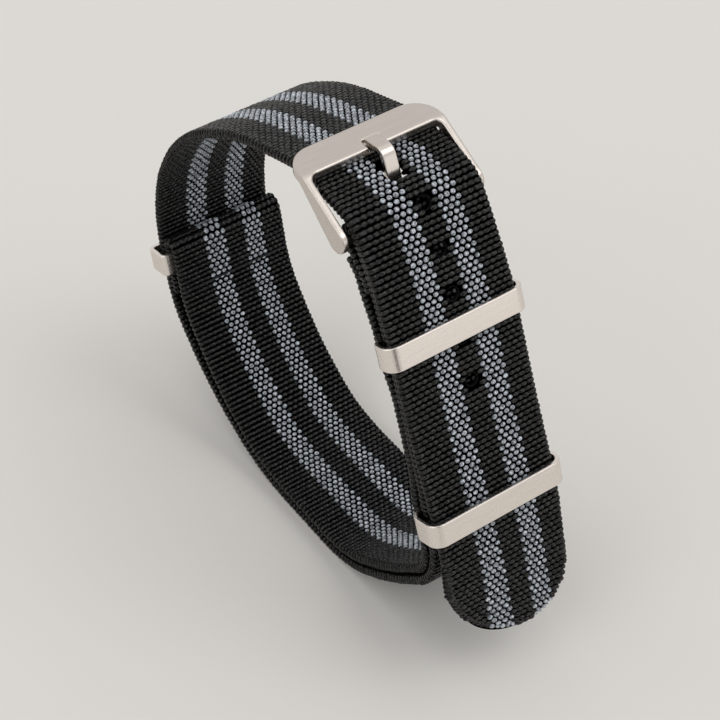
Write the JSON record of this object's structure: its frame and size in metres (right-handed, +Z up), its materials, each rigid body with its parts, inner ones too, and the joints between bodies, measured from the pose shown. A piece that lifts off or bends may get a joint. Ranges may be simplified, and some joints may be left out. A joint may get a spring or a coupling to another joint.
{
  "type": "nato watch strap",
  "caption": "Pull-through watch strap of striped woven nylon, buckled into a wrist loop, with a metal pin buckle and flat metal keeper rings.",
  "frame": {"origin": "under the middle of the whole strap's box, on the surface that it stands on", "axes": "+X from the loop's far side towards the tail, +Y across the webbing's width, +Z up through the buckle"},
  "size_m": [0.0812, 0.0236, 0.0754],
  "materials": {
    "nylon": "ribbed weave, black with two grey stripes",
    "thread": "matte black thread",
    "steel": "satin brushed, warm tone"
  },
  "bodies": {
    "straps": {"long_strap": "nylon", "short_strap": "nylon", "buckle_stitching": "thread", "upper_keeper_stitching": "thread", "lower_keeper_stitching": "thread", "seam_stitching": "thread", "end_stitching": "thread"},
    "buckle": {"buckle_frame": "steel", "buckle_pin": "steel"},
    "tongue": {"tongue": "steel"},
    "upper_keeper": {"upper_keeper": "steel"},
    "lower_keeper": {"lower_keeper": "steel"},
    "end_keeper": {"end_keeper": "steel"}
  },
  "joints": [
    {"name": "buckle_pivot", "type": "hinge", "parent": "straps", "child": "buckle", "pos_m": [0.0128, 0, 0.06821], "axis": [0, 1, 0], "range_deg": [0, 6]},
    {"name": "tongue_pivot", "type": "hinge", "parent": "buckle", "child": "tongue", "pos_m": [0.0128, 0, 0.06821], "axis": [0, 1, 0], "range_deg": [0, 4]},
    {"name": "upper_keeper_slide", "type": "slide", "parent": "straps", "child": "upper_keeper", "axis": [0.367, 0, -0.9302], "range_m": [-0.0008, 0.0008]},
    {"name": "lower_keeper_slide", "type": "slide", "parent": "straps", "child": "lower_keeper", "axis": [0.3319, 0, -0.9433], "range_m": [-0.0008, 0.0008]},
    {"name": "end_keeper_slide", "type": "slide", "parent": "straps", "child": "end_keeper", "axis": [0.2344, 0, -0.9721], "range_m": [0, 0.001]}
  ]
}
